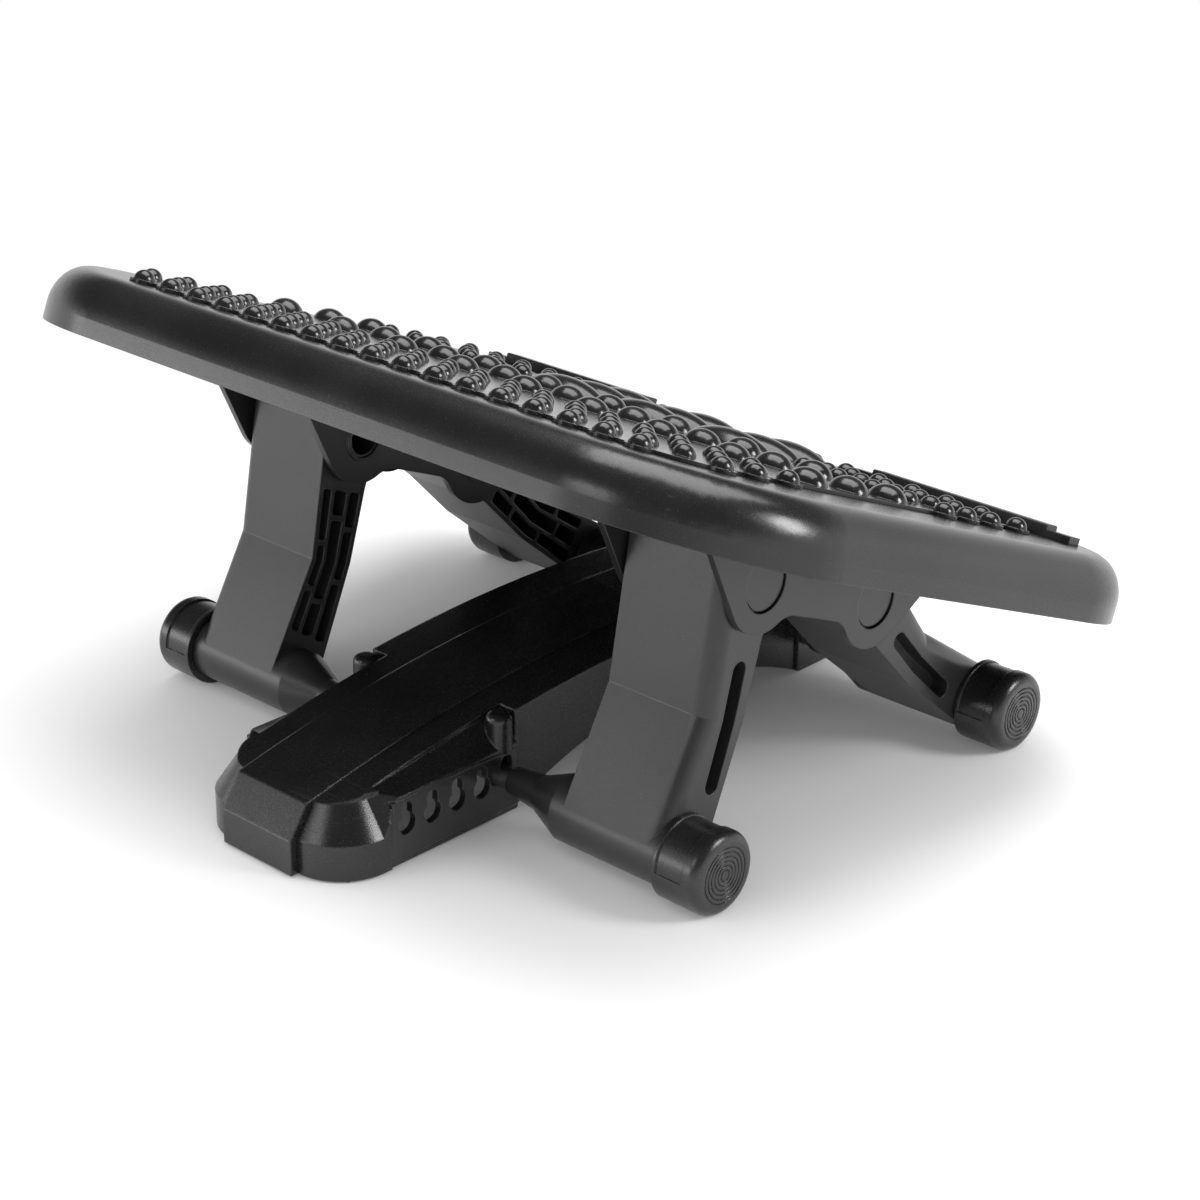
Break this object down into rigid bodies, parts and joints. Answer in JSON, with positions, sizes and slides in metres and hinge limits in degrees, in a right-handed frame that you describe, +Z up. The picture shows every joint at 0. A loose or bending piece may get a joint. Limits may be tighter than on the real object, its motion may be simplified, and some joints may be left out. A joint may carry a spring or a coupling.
{
  "type": "tilting foot rest",
  "caption": "Under-desk foot rest with a massage platform that rocks on two linked leg frames over a long notched base.",
  "frame": {"origin": "centre of the footprint, on the floor", "axes": "+X along the long side of the platform, -Y towards its raised edge, +Z up"},
  "size_m": [0.45, 0.418, 0.2166],
  "materials": {
    "tray_plastic": "satin black, fine moulded grain",
    "mat_plastic": "semi-gloss black",
    "strip_plastic": "satin black",
    "bracket_plastic": "satin black",
    "leg_plastic": "satin black, fine moulded grain",
    "foot_plastic": "satin black",
    "base_plastic": "satin black, fine moulded grain",
    "notch_plastic": "gloss black",
    "pin_plastic": "satin black",
    "washer_plastic": "satin dark grey",
    "rod_steel": "plain steel",
    "screw_steel": "dark plated steel",
    "pad_rubber": "matt black"
  },
  "bodies": {
    "base": {"base_body": "base_plastic", "base_centre_strip": "base_plastic", "base_pads": "pad_rubber", "notch_plate_front_left": "notch_plastic", "notch_plate_front_right": "notch_plastic", "notch_plate_rear_left": "notch_plastic", "notch_plate_rear_right": "notch_plastic"},
    "front_frame": {"front_leg_left": "leg_plastic", "front_leg_right": "leg_plastic", "front_cross_rod": "rod_steel", "front_foot_left": "foot_plastic", "front_foot_right": "foot_plastic"},
    "rear_frame": {"rear_leg_left": "leg_plastic", "rear_leg_right": "leg_plastic", "rear_cross_rod": "rod_steel", "rear_foot_left": "foot_plastic", "rear_foot_right": "foot_plastic"},
    "platform": {"platform_tray": "tray_plastic", "massage_mat": "mat_plastic", "heel_strip_left": "strip_plastic", "heel_strip_right": "strip_plastic", "bracket_left": "bracket_plastic", "bracket_right": "bracket_plastic", "bracket_screws": "screw_steel", "hinge_washers": "washer_plastic", "hinge_pin_front_left": "pin_plastic", "hinge_pin_front_right": "pin_plastic", "hinge_pin_rear_left": "pin_plastic", "hinge_pin_rear_right": "pin_plastic"}
  },
  "joints": [
    {"name": "front_frame_lean", "type": "hinge", "parent": "base", "child": "front_frame", "pos_m": [0, -0.105, 0.019], "axis": [-1, 0, 0], "range_deg": [0, 9.55]},
    {"name": "platform_tilt", "type": "hinge", "parent": "front_frame", "child": "platform", "pos_m": [0, -0.06028, 0.13036], "axis": [1, 0, 0], "range_deg": [0, 32.13]},
    {"name": "rear_frame_lean", "type": "hinge", "parent": "base", "child": "rear_frame", "pos_m": [0, 0.105, 0.019], "axis": [-1, 0, 0], "range_deg": [0, 16.19]}
  ],
  "couplings": [
    {"joint": "front_frame_lean", "follows": "platform_tilt", "ratio": 0.29671},
    {"joint": "rear_frame_lean", "follows": "platform_tilt", "ratio": 0.5032}
  ]
}
